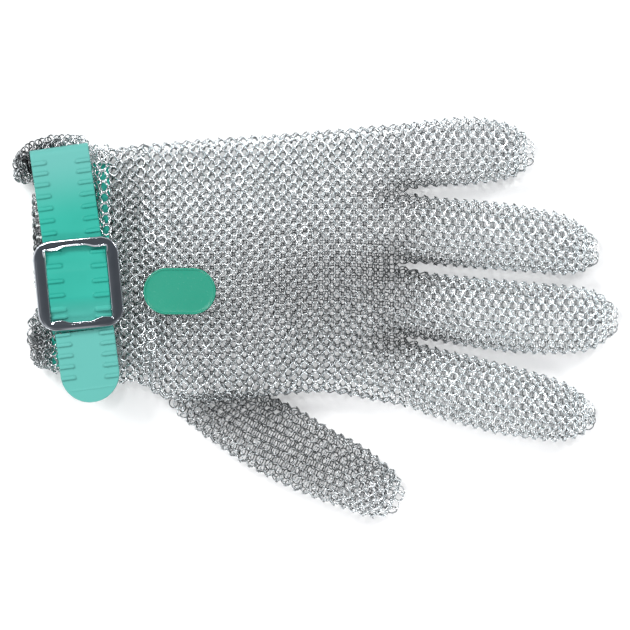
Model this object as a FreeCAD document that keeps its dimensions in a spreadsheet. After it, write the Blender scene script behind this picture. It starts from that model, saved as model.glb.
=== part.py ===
"""Ring-mesh cut resistant glove: a flexible steel mesh hand with a plastic wrist strap, a steel
slide buckle and an oval size tag.

Frame: millimetres, +Z up. The glove lies flat on Z = 0 with its fingers along +X, the little
finger on the +Y side and the thumb on the -Y side. The origin is the centre of the outline on
the surface that the glove lies on.

Each tube of mesh is one hollow loft through stadium sections (a rectangle with round ends),
sliced where the glove bends: firm lengths, and short bend lengths over the joints.
"""
import FreeCAD, Part
import math
import os

import Sketcher

Vector = FreeCAD.Vector
Rotation = FreeCAD.Rotation
Placement = FreeCAD.Placement

doc = FreeCAD.newDocument("cut_resistant_glove")
sheet = doc.addObject("Spreadsheet::Sheet", "dims")

# ---------------------------------------------------------------- driving dimensions

GENERAL = {
    "mesh_wall": 1.6,            # thickness that the linked rings fill
    "slice_gap": 0.2,            # left between neighbouring slices of one tube
    "hand_front_x": 29.0,        # where the palm ends and the finger tubes begin
    "cuff_front_x": -76.0,
    "cuff_split_y": 14.0,        # parts the cuff's upper panel, between its two strap slots
    "palm_split_x": -25.0,       # parts the palm's upper panel, in front of the size tag
    "hand_mid_z": 9.0,           # level that parts the upper panels from the lower ones
    "sole_trim": 0.15,           # cut off under the palm, which leaves it a flat resting face
    "thumb_angle": -24.5,        # direction of the thumb, from +X
    "thumb_origin_x": 0.0,
    "thumb_origin_y": -55.0,
    "thumb_cut_y": -34.5,        # where the thumb tube is cut off along the palm
    "thumb_crease_y": -30.3,     # edge of the palm that the crease mesh meets
    "thumb_bend_at": 4.0,        # thumb joint, measured along the thumb
    "thumb_bend_half": 5.0,
    "knuckle_end_x": 38.8,       # end of the mesh over the knuckles
    "thumb_hole_length": 36.0,
    "thumb_hole_height": 10.0,
    "thumb_hole_depth": 14.0,    # inward from where the thumb tube is cut off
    "thumb_hole_x": -46.0,
    "thumb_slot_reach": 60.0,    # the thumb hole's cut starts this far out
    "slot_room": 0.6,            # round the strap and its loop where they pass the mesh
    "band_gap": 0.5,             # between the cuff mesh and the wrist band inside it
    "band_thickness": 1.5,
    "band_start_x": -100.0,
    "band_end_x": -78.0,
    "strap_width": 22.4,
    "strap_thickness": 1.7,
    "strap_bottom_z": 20.5,
    "strap_run_angle": 8.3,
    "strap_tail_angle": 7.3,
    "run_start_v": 17.3,         # v is measured along the strap from the buckle's middle
    "fold_v": 49.6,
    "fold_radius": 2.1,          # middle of the strap's thickness where it folds into the cuff
    "buckle_x": -89.6,
    "buckle_y": 11.8,
    "buckle_angle": 5.5,
    "buckle_width": 32.0,
    "buckle_length": 34.0,
    "buckle_corner": 7.0,
    "buckle_side_bar": 4.2,
    "buckle_end_bar": 3.6,
    "buckle_thickness": 2.2,
    "buckle_edge_round": 0.8,
    "rim_room": 0.2,             # an edge this far past the window is on the outer rim
    "buckle_bottom_z": 22.7,
    "wave_reach": 7.6,           # half width and depth of the waves in the window's end edges
    "wave_depth": 1.3,
    "lobe_radius": 1.5,          # relief in the window's corners
    "lobe_inset": 1.2,
    "lobe_end_inset": 0.4,
    "ear_length": 4.0,
    "ear_width": 2.4,
    "ear_bottom_z": 20.2,
    "bar_diameter": 1.8,
    "bar_centre_z": 21.6,
    "bar_fit": 0.1,
    "span_rise": 2.8,            # how far the threaded strap rises over the centre bar
    "span_shoulder": 4.2,
    "span_start_gap": 1.6,
    "buckle_wave_room": 0.6,
    "tail_start_v": 18.0,
    "tail_length": 27.2,
    "loop_wall": 0.6,
    "loop_width": 16.0,
    "loop_foot_z": 18.1,
    "tag_x": -51.3,
    "tag_y": 9.0,
    "tag_length": 27.5,
    "tag_width": 17.7,
    "tag_thickness": 1.8,
    "tag_rim_width": 0.9,
    "tag_rim_height": 0.35,
    "tag_bottom_z": 18.9,
    "tag_back_thickness": 1.2,
    "tag_back_top_z": 16.3,
    "rivet_diameter": 2.0,
    "rivet_spacing": 14.0,
    "rivet_hole": 2.6,
}

# Tube sections: place along the tube, middle across it, width, height, height of the middle.
HAND_SECTIONS = [
    (-106.0, 22.0, 80.0, 19.0, 10.0),
    (-102.0, 22.5, 87.0, 20.0, 10.0),
    (-94.0, 22.0, 90.0, 20.0, 10.0),
    (-80.0, 18.0, 91.0, 19.5, 9.75),
    (-68.0, 19.6, 90.6, 19.0, 9.5),
    (-50.0, 18.3, 96.4, 18.5, 9.25),
    (-20.0, 19.3, 98.4, 18.0, 9.0),
    (5.0, 20.4, 100.2, 17.0, 8.5),
    (29.0, 19.3, 106.6, 16.0, 8.0),
]
FINGER_SECTIONS = {
    "little": [
        (29.0, 60.4, 25.0, 15.0, 7.5),
        (45.0, 61.6, 26.0, 15.0, 7.5),
        (60.0, 62.6, 25.8, 15.0, 7.5),
        (72.0, 62.8, 22.4, 15.0, 7.5),
        (79.6, 62.4, 15.4, 11.0, 7.5),
        (82.6, 62.2, 8.0, 5.0, 7.5),
    ],
    "ring": [
        (29.0, 33.6, 26.0, 16.0, 8.0),
        (45.0, 32.0, 26.2, 16.0, 8.0),
        (75.0, 29.5, 26.0, 16.0, 8.0),
        (95.0, 27.6, 23.2, 16.0, 8.0),
        (103.6, 27.2, 16.6, 12.0, 8.0),
        (107.2, 27.0, 9.0, 6.0, 8.0),
    ],
    "middle": [
        (29.0, 5.0, 26.0, 16.0, 8.0),
        (45.0, 3.0, 26.2, 16.0, 8.0),
        (75.0, 0.0, 26.8, 16.0, 8.0),
        (100.0, -1.3, 24.8, 16.0, 8.0),
        (110.6, -1.3, 17.0, 12.0, 8.0),
        (114.6, -1.3, 9.0, 6.0, 8.0),
    ],
    "index": [
        (29.0, -21.5, 25.4, 16.0, 8.0),
        (45.0, -25.5, 27.0, 16.0, 8.0),
        (75.0, -32.8, 27.4, 16.0, 8.0),
        (92.0, -36.2, 24.4, 16.0, 8.0),
        (101.8, -38.0, 17.4, 12.0, 8.0),
        (105.6, -38.6, 9.0, 6.0, 8.0),
    ],
}
THUMB_SECTIONS = [
    (-56.0, 9.0, 24.0, 16.0, 8.0),
    (-40.0, 2.5, 24.0, 16.0, 8.0),
    (-25.0, 0.0, 26.0, 16.0, 8.0),
    (0.0, -0.7, 26.6, 16.0, 8.0),
    (15.0, -0.2, 25.4, 16.0, 8.0),
    (25.0, -1.0, 22.6, 16.0, 8.0),
    (32.6, -1.2, 15.6, 12.0, 8.0),
    (36.0, -1.2, 8.0, 6.0, 8.0),
]
# Each finger: middle joint, tip joint, and half the length of mesh that bends over each.
FINGER_BENDS = {
    "little": (54.6, 68.6, 5.2, 3.4),
    "ring": (63.6, 86.0, 5.8, 3.6),
    "middle": (66.0, 91.0, 5.8, 3.6),
    "index": (61.5, 83.5, 5.8, 3.6),
}
SECTION_FIELDS = ("at", "across", "width", "height", "level")
TUBES = {"hand": HAND_SECTIONS, "thumb": THUMB_SECTIONS, **FINGER_SECTIONS}
FAR = "200"  # past the whole glove, in any direction


def fill_sheet():
    """Write every driving dimension to the sheet, one alias each."""
    values = dict(GENERAL)
    for tube, sections in TUBES.items():
        for number, section in enumerate(sections):
            for field, value in zip(SECTION_FIELDS, section):
                values[f"{tube}_section_{number}_{field}"] = value
    for finger, bends in FINGER_BENDS.items():
        for field, value in zip(("bend_x", "tip_bend_x", "bend_half", "tip_bend_half"), bends):
            values[f"{finger}_{field}"] = value
    for row, (alias, value) in enumerate(values.items(), start=1):
        sheet.set(f"A{row}", alias)
        sheet.set(f"B{row}", str(value))
        sheet.setAlias(f"B{row}", alias)
    doc.recompute()


def size(alias):
    """The sheet's value of one dimension."""
    return float(sheet.get(alias))


def bind(obj, prop, expression):
    """Bind a property to sheet dimensions, written as {alias}."""
    obj.setExpression(prop, expression.replace("{", "dims.").replace("}", ""))


# ---------------------------------------------------------------- shared building blocks

def draw_stadium(sketch, half_width, half_height):
    """Draw a stadium, round ends left and right, about the sketch's middle."""
    first = sketch.GeometryCount
    right = Part.Circle(Vector(5, 0, 0), Vector(0, 0, 1), 4)
    left = Part.Circle(Vector(-5, 0, 0), Vector(0, 0, 1), 4)
    sketch.addGeometry([
        Part.LineSegment(Vector(-5, 4, 0), Vector(5, 4, 0)),
        Part.ArcOfCircle(right, -math.pi / 2, math.pi / 2),
        Part.LineSegment(Vector(5, -4, 0), Vector(-5, -4, 0)),
        Part.ArcOfCircle(left, math.pi / 2, 3 * math.pi / 2),
    ], False)
    top, east, bottom, west = range(first, first + 4)
    sketch.addConstraint([
        Sketcher.Constraint("Tangent", top, 2, east, 2),
        Sketcher.Constraint("Tangent", east, 1, bottom, 1),
        Sketcher.Constraint("Tangent", bottom, 2, west, 2),
        Sketcher.Constraint("Tangent", west, 1, top, 1),
        Sketcher.Constraint("Symmetric", east, 3, west, 3, -1, 1),
        Sketcher.Constraint("PointOnObject", east, 3, -1),
        Sketcher.Constraint("Equal", east, west),
    ])
    add_size(sketch, Sketcher.Constraint("Radius", east, 4), half_height)
    add_size(sketch, Sketcher.Constraint("DistanceX", -1, 1, east, 3, 5),
             f"({half_width}) - ({half_height})")


def draw_rectangle(sketch, x_min, x_max, y_min, y_max):
    """Draw an upright rectangle between four expressions, the low ones below zero."""
    first = sketch.GeometryCount
    corners = [Vector(-6, -5, 0), Vector(6, -5, 0), Vector(6, 5, 0), Vector(-6, 5, 0)]
    for start, end in zip(corners, corners[1:] + corners[:1]):
        sketch.addGeometry(Part.LineSegment(start, end), False)
    for side in range(4):
        sketch.addConstraint(
            Sketcher.Constraint("Coincident", first + side, 2, first + (side + 1) % 4, 1))
        kind = "Vertical" if side % 2 else "Horizontal"
        sketch.addConstraint(Sketcher.Constraint(kind, first + side))
    add_size(sketch, Sketcher.Constraint("DistanceX", first, 1, -1, 1, 6), f"-({x_min})")
    add_size(sketch, Sketcher.Constraint("DistanceX", -1, 1, first, 2, 6), x_max)
    add_size(sketch, Sketcher.Constraint("DistanceY", first, 1, -1, 1, 5), f"-({y_min})")
    add_size(sketch, Sketcher.Constraint("DistanceY", -1, 1, first + 2, 1, 5), y_max)


def draw_circle(sketch, x, y, radius):
    """Draw a circle; x and y are expressions, each positive or negative."""
    number = sketch.addGeometry(Part.Circle(Vector(3, 3, 0), Vector(0, 0, 1), 2), False)
    add_size(sketch, Sketcher.Constraint("DistanceX", -1, 1, number, 3, 3), x)
    add_size(sketch, Sketcher.Constraint("DistanceY", -1, 1, number, 3, 3), y)
    add_size(sketch, Sketcher.Constraint("Radius", number, 2), radius)


def draw_path(sketch, points):
    """Draw a closed outline of straight runs; points are pairs of expressions."""
    count = len(points)
    turn = 2 * math.pi / count
    first = sketch.GeometryCount
    start = [Vector(math.cos(turn * n), math.sin(turn * n), 0) for n in range(count)]
    for number in range(count):
        line = Part.LineSegment(start[number], start[(number + 1) % count])
        sketch.addGeometry(line, False)
    for number in range(count):
        following = first + (number + 1) % count
        joint = Sketcher.Constraint("Coincident", first + number, 2, following, 1)
        sketch.addConstraint(joint)
    for number, (x, y) in enumerate(points):
        line = first + number
        guess = start[number]
        add_size(sketch, Sketcher.Constraint("DistanceX", -1, 1, line, 1, guess.x), x)
        add_size(sketch, Sketcher.Constraint("DistanceY", -1, 1, line, 1, guess.y), y)


def add_size(sketch, constraint, expression):
    """Add a dimension to a sketch and bind it."""
    number = sketch.addConstraint(constraint)
    bind(sketch, f"Constraints[{number}]", expression)


def cut(name, base, tool):
    """Base with the tool taken away."""
    feature = doc.addObject("Part::Cut", name)
    feature.Base = base
    feature.Tool = tool
    return feature


def common(name, base, tool):
    """What base and tool share."""
    feature = doc.addObject("Part::Common", name)
    feature.Base = base
    feature.Tool = tool
    return feature


def fuse(name, shapes):
    """Several shapes joined in one."""
    feature = doc.addObject("Part::MultiFuse", name)
    feature.Shapes = shapes
    return feature


def box(name, frame, spans):
    """A box in a frame; spans are (low, high) expressions along the frame's X, Y and Z."""
    feature = doc.addObject("Part::Box", name)
    for prop, (low, high) in zip(("Length", "Width", "Height"), spans):
        bind(feature, prop, f"({high}) - ({low})")
    low_corner = [low for low, _ in spans]
    set_in_frame(feature, frame, low_corner)
    return feature


def cylinder(name, frame, turn, radius, length, corner):
    """A cylinder turned by a rotation within a frame, its base centre at three expressions."""
    feature = doc.addObject("Part::Cylinder", name)
    bind(feature, "Radius", radius)
    bind(feature, "Height", length)
    set_in_frame(feature, frame, corner, turn)
    return feature


def set_in_frame(feature, frame, corner, turn=Rotation()):
    """Place a feature at three expressions measured in a frame, keeping them bound."""
    feature.Placement = Placement(Vector(), frame.Rotation.multiply(turn))
    axes = [frame.Rotation.multVec(v) for v in (Vector(1, 0, 0), Vector(0, 1, 0), Vector(0, 0, 1))]
    for name in "xyz":
        shares = [f"{getattr(v, name):.9f} * ({e})" for v, e in zip(axes, corner)]
        base = getattr(frame.Base, name)
        bind(feature, f"Placement.Base.{name}", f"{base:.9f} + " + " + ".join(shares))


def pad_body(name, draw, depth, frame, corner, plane="XY_Plane"):
    """A body padded from a sketch on one of its planes, placed in a frame."""
    body = doc.addObject("PartDesign::Body", name)
    sketch = body_sketch(body, f"{name}_outline", plane)
    draw(sketch)
    pad = body.newObject("PartDesign::Pad", f"{name}_pad")
    pad.Profile = sketch
    bind(pad, "Length", depth)
    set_in_frame(body, frame, corner)
    return body


def body_sketch(body, name, plane="XY_Plane", lift="0"):
    """A sketch on one of a body's own planes, lifted off it by an expression."""
    sketch = body.newObject("Sketcher::SketchObject", name)
    support = next(o for o in body.Origin.OriginFeatures if o.Role == plane)
    sketch.AttachmentSupport = [(support, "")]
    sketch.MapMode = "FlatFace"
    bind(sketch, "AttachmentOffset.Base.z", lift)
    return sketch


def pocket(body, name, draw, depth, plane="XY_Plane", lift="0"):
    """Cut a pocket down from a lifted sketch, and make sure that it took something away."""
    doc.recompute()
    before = body.Shape.Volume
    sketch = body_sketch(body, f"{name}_outline", plane, lift)
    draw(sketch)
    feature = body.newObject("PartDesign::Pocket", name)
    feature.Profile = sketch
    bind(feature, "Length", depth)
    doc.recompute()
    if not body.Shape.Volume < before - 1e-6:
        raise RuntimeError(f"{name} cut nothing from {body.Name}")


# ---------------------------------------------------------------- mesh tubes

SECTION_TURN = Rotation(Vector(0, 1, 0), Vector(0, 0, 1), Vector(1, 0, 0), "ZXY")
WORLD = Placement()


def tube_loft(name, tube, inset, frame):
    """Solid loft through a tube's sections, each drawn in by an inset expression.

    The far end of a finger is drawn in too, so that its tip is closed. The hand is open.
    """
    sections = []
    last = len(TUBES[tube]) - 1
    for number in range(last + 1):
        cell = f"{tube}_section_{number}_"
        sketch = doc.addObject("Sketcher::SketchObject", f"{name}_section_{number}")
        closed_end = tube != "hand" and number == last
        along = f"{{{cell}at}} - ({inset if closed_end else 0})"
        corner = [along, f"{{{cell}across}}", f"{{{cell}level}}"]
        set_in_frame(sketch, frame, corner, SECTION_TURN)
        half_width = f"{{{cell}width}} / 2 - ({inset})"
        half_height = f"{{{cell}height}} / 2 - ({inset})"
        draw_stadium(sketch, half_width, half_height)
        sections.append(sketch)
    loft = doc.addObject("Part::Loft", name)
    loft.Sections = sections
    loft.Solid = True
    loft.Ruled = True
    return loft


def tube_shell(name, tube, outset, wall, frame=WORLD):
    """Hollow tube: its skin stands outset inside the section sizes, and it is wall thick."""
    outer = tube_loft(f"{name}_outer", tube, outset, frame)
    inner = tube_loft(f"{name}_inner", tube, f"({outset}) + ({wall})", frame)
    return cut(f"{name}_shell", outer, inner)


def slice_box(name, start, end, frame=WORLD):
    """A box past the glove's width and height, from start to end along a frame's X."""
    return box(name, frame, [(start, end), (f"-{FAR}", FAR), (f"-{FAR}", FAR)])


def make_finger(finger):
    """The six lengths of one finger tube, from the knuckle to the tip."""
    shell = tube_shell(finger, finger, "0", "{mesh_wall}")
    bend = [f"{{{finger}_bend_x}} - {{{finger}_bend_half}}",
            f"{{{finger}_bend_x}} + {{{finger}_bend_half}}"]
    tip_bend = [f"{{{finger}_tip_bend_x}} - {{{finger}_tip_bend_half}}",
                f"{{{finger}_tip_bend_x}} + {{{finger}_tip_bend_half}}"]
    cuts = ["{hand_front_x}", "{knuckle_end_x}", *bend, *tip_bend, FAR]
    lengths = ["knuckle", "base", "bend", "middle", "tip_bend", "tip"]
    made = {}
    for length, start, end in zip(lengths, cuts, cuts[1:]):
        node = f"{finger}_{length}_mesh"
        tool = slice_box(f"{node}_slice", f"{start} + {{slice_gap}}", end)
        made[node] = common(f"{node}_part", shell, tool)
    return made


def thumb_frame():
    """Along the thumb from its middle, turned about Z."""
    turn = Rotation(Vector(0, 0, 1), size("thumb_angle"))
    return Placement(Vector(size("thumb_origin_x"), size("thumb_origin_y"), 0), turn)


def make_thumb():
    """The thumb tube: crease mesh, base, bend and tip."""
    frame = thumb_frame()
    shell = tube_shell("thumb", "thumb", "0", "{mesh_wall}", frame)
    low, high = "{thumb_bend_at} - {thumb_bend_half}", "{thumb_bend_at} + {thumb_bend_half}"
    base_slice = slice_box("thumb_base_slice", f"-{FAR}", low, frame)
    whole_base = common("thumb_whole_base", shell, base_slice)
    spans = {
        "thumb_crease_mesh": ("{thumb_cut_y} + {slice_gap}", "{thumb_crease_y}"),
        "thumb_base_mesh": (f"-{FAR}", "{thumb_cut_y}"),
    }
    made = {}
    for node, span in spans.items():
        side = box(f"{node}_side", WORLD, [(f"-{FAR}", FAR), span, (f"-{FAR}", FAR)])
        made[node] = common(f"{node}_part", whole_base, side)
    cuts = {
        "thumb_bend_mesh": (f"{low} + {{slice_gap}}", high),
        "thumb_tip_mesh": (f"{high} + {{slice_gap}}", FAR),
    }
    for node, (start, end) in cuts.items():
        made[node] = common(f"{node}_part", shell, slice_box(f"{node}_slice", start, end, frame))
    return made


# ---------------------------------------------------------------- frames on the cuff

def buckle_frame(angle):
    """Middle of the buckle, with +Y up the strap towards the little finger side."""
    turn = Rotation(Vector(0, 0, 1), size(angle))
    return Placement(Vector(size("buckle_x"), size("buckle_y"), 0), turn)


def tag_frame():
    """Middle of the size tag."""
    return Placement(Vector(size("tag_x"), size("tag_y"), 0), Rotation())


# ---------------------------------------------------------------- palm and cuff

def hand_openings():
    """What is cut from the hand's mesh: thumb hole, strap slots and rivet holes."""
    hole_end = "{thumb_hole_x} + {thumb_hole_length}"
    hole_low = "{hand_mid_z} - {thumb_hole_height} / 2"
    hole_high = "{hand_mid_z} + {thumb_hole_height} / 2"
    thumb_hole = box("thumb_hole", WORLD, [
        ("{thumb_hole_x}", hole_end), ("-{thumb_slot_reach}", "{thumb_cut_y} + {thumb_hole_depth}"),
        (hole_low, hole_high)])
    half_slot = "({strap_width} / 2 + {slot_room})"
    fold_outside = "{fold_v} + {fold_radius} + {strap_thickness} / 2 + {slot_room}"
    fold_slot = box("fold_slot", buckle_frame("strap_run_angle"), [
        (f"-{half_slot}", half_slot), ("{fold_v} - {slot_room}", fold_outside),
        ("{hand_mid_z}", FAR)])
    half_loop = "({loop_width} / 2 + {slot_room})"
    half_bar = "({bar_diameter} / 2 + {bar_fit} + {loop_wall} + {slot_room})"
    loop_slot = box("loop_slot", buckle_frame("buckle_angle"), [
        (f"-{half_loop}", half_loop), (f"-{half_bar}", half_bar), ("{hand_mid_z}", FAR)])
    holes = []
    for side in ("-", ""):
        corner = (f"{side}{{rivet_spacing}} / 2", "0", "{hand_mid_z}")
        holes.append(cylinder(f"rivet_hole_{len(holes)}", tag_frame(), Rotation(),
                              "{rivet_hole} / 2", FAR, corner))
    return fuse("hand_openings", [thumb_hole, fold_slot, loop_slot, *holes])


def make_hand():
    """The palm and cuff: upper and lower panels of one wide tube."""
    lowered = Placement(Vector(0, 0, -size("sole_trim")), Rotation())
    shell = cut("hand_open_shell", tube_shell("hand", "hand", "0", "{mesh_wall}", lowered),
                hand_openings())
    cuff = (f"-{FAR}", "{cuff_front_x}")
    palm_start = "{cuff_front_x} + {slice_gap}"
    whole = (f"-{FAR}", FAR)
    lower = ("0", "{hand_mid_z}")
    upper = ("{hand_mid_z} + {slice_gap} / 2", FAR)
    panels = {
        "cuff_lower": (cuff, whole, lower),
        "cuff_upper_thumb_side": (cuff, (f"-{FAR}", "{cuff_split_y}"), upper),
        "cuff_upper_little_side": (cuff, ("{cuff_split_y} + {slice_gap}", FAR), upper),
        "palm_lower": ((palm_start, "{hand_front_x}"), whole, lower),
        "palm_upper_rear": ((palm_start, "{palm_split_x}"), whole, upper),
        "palm_upper_front": (("{palm_split_x} + {slice_gap}", "{hand_front_x}"), whole, upper),
    }
    made = {}
    for panel, ranges in panels.items():
        part = box(f"{panel}_block", WORLD, list(ranges))
        made[f"{panel}_mesh"] = common(f"{panel}_part", shell, part)
    return made


# ---------------------------------------------------------------- strap

def make_wrist_band():
    """The strap's inner run: a U inside the cuff, open at the little finger side."""
    outset = "{mesh_wall} + {band_gap}"
    shell = tube_shell("band", "hand", outset, "{band_thickness}")
    ring = common("band_ring", shell, slice_box("band_slice", "{band_start_x}", "{band_end_x}"))
    reach = box("band_reach", buckle_frame("strap_run_angle"), [
        (f"-{FAR}", FAR), (f"-{FAR}", "{fold_v} - {slice_gap}"), (f"-{FAR}", FAR)])
    return {"wrist_band": common("wrist_band_part", ring, reach)}


def make_strap_run():
    """The strap's outer run, from the fold at the little finger side to the buckle."""
    half = "{strap_width} / 2"
    run = box("strap_run_part", buckle_frame("strap_run_angle"), [
        (f"-{half}", half), ("{run_start_v}", "{fold_v} - {slice_gap}"),
        ("{strap_bottom_z}", "{strap_bottom_z} + {strap_thickness}")])
    return {"strap_outer_run": run}


def make_strap_fold():
    """Half a turn of strap, from the outer run down through the mesh to the wrist band."""
    frame = buckle_frame("strap_run_angle")
    sideways = Rotation(Vector(0, 1, 0), 90)
    level = "{strap_bottom_z} + {strap_thickness} / 2 - {fold_radius}"
    corner = ("-{strap_width} / 2", "{fold_v}", level)
    outer = cylinder("fold_outer", frame, sideways,
                     "{fold_radius} + {strap_thickness} / 2", "{strap_width}", corner)
    inner = cylinder("fold_inner", frame, sideways,
                     "{fold_radius} - {strap_thickness} / 2", "{strap_width}", corner)
    half = box("fold_half", frame, [
        (f"-{FAR}", FAR), ("{fold_v}", FAR), (f"-{FAR}", FAR)])
    ring = cut("fold_ring", outer, inner)
    return {"strap_fold": common("strap_fold_part", ring, half)}


def make_threaded_span():
    """The strap inside the buckle: under both end bars and over the centre bar."""
    low = "0"
    high = "{span_rise}"
    inside = "{buckle_length} / 2 - {buckle_end_bar} - {buckle_wave_room}"
    crown = "{bar_diameter} + {span_shoulder}"
    start = "{run_start_v} - {span_start_gap}"
    end = "-({tail_start_v} - 2 * {slice_gap})"
    thick = "{strap_thickness}"
    points = [
        (end, low), (f"-({inside})", low), (f"-({crown})", high), (crown, high),
        (inside, low), (start, low), (start, thick), (f"{inside} - {thick} / 2", thick),
        (f"{crown} - {thick} / 2", f"{high} + {thick}"),
        (f"-({crown} - {thick} / 2)", f"{high} + {thick}"),
        (f"-({inside} - {thick} / 2)", thick), (end, thick),
    ]
    corner = ("-{strap_width} / 2", "0", "{strap_bottom_z}")
    body = pad_body("strap_threaded_part", lambda sketch: draw_path(sketch, points),
                    "{strap_width}", buckle_frame("buckle_angle"), corner, "YZ_Plane")
    return {"strap_threaded_span": body}


def make_tail():
    """The strap's free end past the buckle, with a round tip."""
    def draw(sketch):
        half = "{strap_width} / 2"
        draw_rectangle(sketch, f"-{half}", half, "-({tail_length} - {strap_width} / 2)", "0")

    def tip(sketch):
        draw_circle(sketch, "0", "-({tail_length} - {strap_width} / 2)", "{strap_width} / 2")

    frame = buckle_frame("strap_tail_angle")
    corner = ("0", "-{tail_start_v}", "{strap_bottom_z}")
    straight = pad_body("tail_straight", draw, "{strap_thickness}", frame, corner)
    round_end = pad_body("tail_round", tip, "{strap_thickness}", frame, corner)
    return {"strap_tail": fuse("strap_tail_part", [straight, round_end])}


def make_anchor_loop():
    """A thin loop round the centre bar, with a foot that goes down to the wrist band."""
    frame = buckle_frame("buckle_angle")
    sideways = Rotation(Vector(0, 1, 0), 90)
    corner = ("-{loop_width} / 2", "0", "{bar_centre_z}")
    hollow = "{bar_diameter} / 2 + {bar_fit}"
    ring = cylinder("loop_ring", frame, sideways, f"{hollow} + {{loop_wall}}",
                    "{loop_width}", corner)
    foot = box("loop_foot", frame, [
        ("-{loop_width} / 2", "{loop_width} / 2"), ("-{loop_wall}", "{loop_wall}"),
        ("{loop_foot_z}", "{bar_centre_z}")])
    bore = cylinder("loop_bore", frame, sideways, hollow, "{loop_width}", corner)
    solid = fuse("loop_solid", [ring, foot])
    return {"strap_anchor_loop": cut("strap_anchor_loop_part", solid, bore)}


# ---------------------------------------------------------------- buckle

def draw_buckle_window(sketch):
    """The straight part of the window."""
    half_width = "({buckle_width} / 2 - {buckle_side_bar})"
    half_length = "({buckle_length} / 2 - {buckle_end_bar})"
    draw_rectangle(sketch, f"-{half_width}", half_width, f"-{half_length}", half_length)


def draw_corner_lobes(sketch):
    """Round relief in each corner of the window."""
    x = "({buckle_width} / 2 - {buckle_side_bar} - {lobe_inset})"
    y = "({buckle_length} / 2 - {buckle_end_bar} - {lobe_end_inset})"
    for side in ("", "-"):
        for end in ("", "-"):
            draw_circle(sketch, f"{side}{x}", f"{end}{y}", "{lobe_radius}")


def draw_wave(end):
    """Outline drawer: the shallow bulge in the window's edge at one end."""
    edge = "({buckle_length} / 2 - {buckle_end_bar})"

    def draw(sketch):
        draw_path(sketch, [
            ("-{wave_reach}", f"{end}{edge}"),
            ("-{wave_reach} / 2", f"{end}({edge} + {{wave_depth}})"),
            ("{wave_reach} / 2", f"{end}({edge} + {{wave_depth}})"),
            ("{wave_reach}", f"{end}{edge}"),
            ("0", f"{end}({edge} - {{wave_depth}})"),
        ])

    return draw


def make_buckle():
    """The stamped steel frame and the bar across its middle."""
    frame = buckle_frame("buckle_angle")

    def outline(sketch):
        half_width, half_length = "{buckle_width} / 2", "{buckle_length} / 2"
        draw_rectangle(sketch, f"-{half_width}", half_width, f"-{half_length}", half_length)

    plate = pad_body("buckle_plate", outline, "{buckle_thickness}", frame,
                     ("0", "0", "{buckle_bottom_z}"))
    doc.recompute()
    upright = edges_where(plate, lambda line: abs(line.tangentAt(0).z) > 0.99)
    fillet(plate, "buckle_corners", upright, "{buckle_corner}")
    pocket(plate, "buckle_window", draw_buckle_window, "{buckle_thickness}",
           lift="{buckle_thickness}")
    pocket(plate, "buckle_lobes", draw_corner_lobes, "{buckle_thickness}",
           lift="{buckle_thickness}")
    for name, end in (("buckle_wave_up", ""), ("buckle_wave_down", "-")):
        pocket(plate, name, draw_wave(end), "{buckle_thickness}", lift="{buckle_thickness}")
    rim = edges_where(plate, on_outer_rim)
    fillet(plate, "buckle_round_rim", rim, "{buckle_edge_round}")

    ears = []
    for side in ("-", ""):
        middle = f"{side}({{buckle_width}} / 2 - {{buckle_side_bar}} / 2)"
        ears.append(box(f"buckle_ear_{len(ears)}", frame, [
            (f"{middle} - {{ear_width}} / 2", f"{middle} + {{ear_width}} / 2"),
            ("-{ear_length} / 2", "{ear_length} / 2"),
            ("{ear_bottom_z}", "{buckle_bottom_z} + {buckle_edge_round}")]))
    sideways = Rotation(Vector(0, 1, 0), 90)
    half_bar = "({buckle_width} / 2 - {buckle_side_bar} / 2 + {ear_width} / 2)"
    corner = (f"-{half_bar}", "0", "{bar_centre_z}")
    bar = cylinder("centre_bar", frame, sideways, "{bar_diameter} / 2", f"2 * {half_bar}", corner)
    bar_hole = cylinder("bar_hole", frame, sideways, "{bar_diameter} / 2",
                        f"2 * {half_bar}", corner)
    whole = fuse("buckle_with_ears", [plate, *ears])
    return {"buckle_frame": cut("buckle_frame_part", whole, bar_hole), "buckle_centre_bar": bar}


def on_outer_rim(edge):
    """Is an edge of the buckle on its top face's outside?"""
    level = evenly(edge, lambda point: point.z)
    top = max(abs(z - size("buckle_thickness")) for z in level) < 1e-6
    half_width, half_length = size("buckle_width") / 2, size("buckle_length") / 2
    inside_x = half_width - size("buckle_side_bar") + size("rim_room")
    inside_y = half_length - size("buckle_end_bar") + size("wave_depth") + size("rim_room")

    def outside(point):
        return abs(point.x) > inside_x or abs(point.y) > inside_y

    return top and all(evenly(edge, outside))


def evenly(edge, measure):
    """Measure an edge at five points."""
    first, last = edge.ParameterRange
    return [measure(edge.valueAt(first + (last - first) * n / 4)) for n in range(5)]


def edges_where(body, test):
    """Names of the body's edges that pass a test, in the body's own frame."""
    shape = body.Tip.Shape
    return [f"Edge{n}" for n, edge in enumerate(shape.Edges, start=1) if test(edge)]


def fillet(body, name, edges, radius):
    """Round some edges of a body's tip."""
    base = body.Tip
    feature = body.newObject("PartDesign::Fillet", name)
    feature.Base = (base, edges)
    bind(feature, "Radius", radius)
    doc.recompute()


# ---------------------------------------------------------------- size tag

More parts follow.
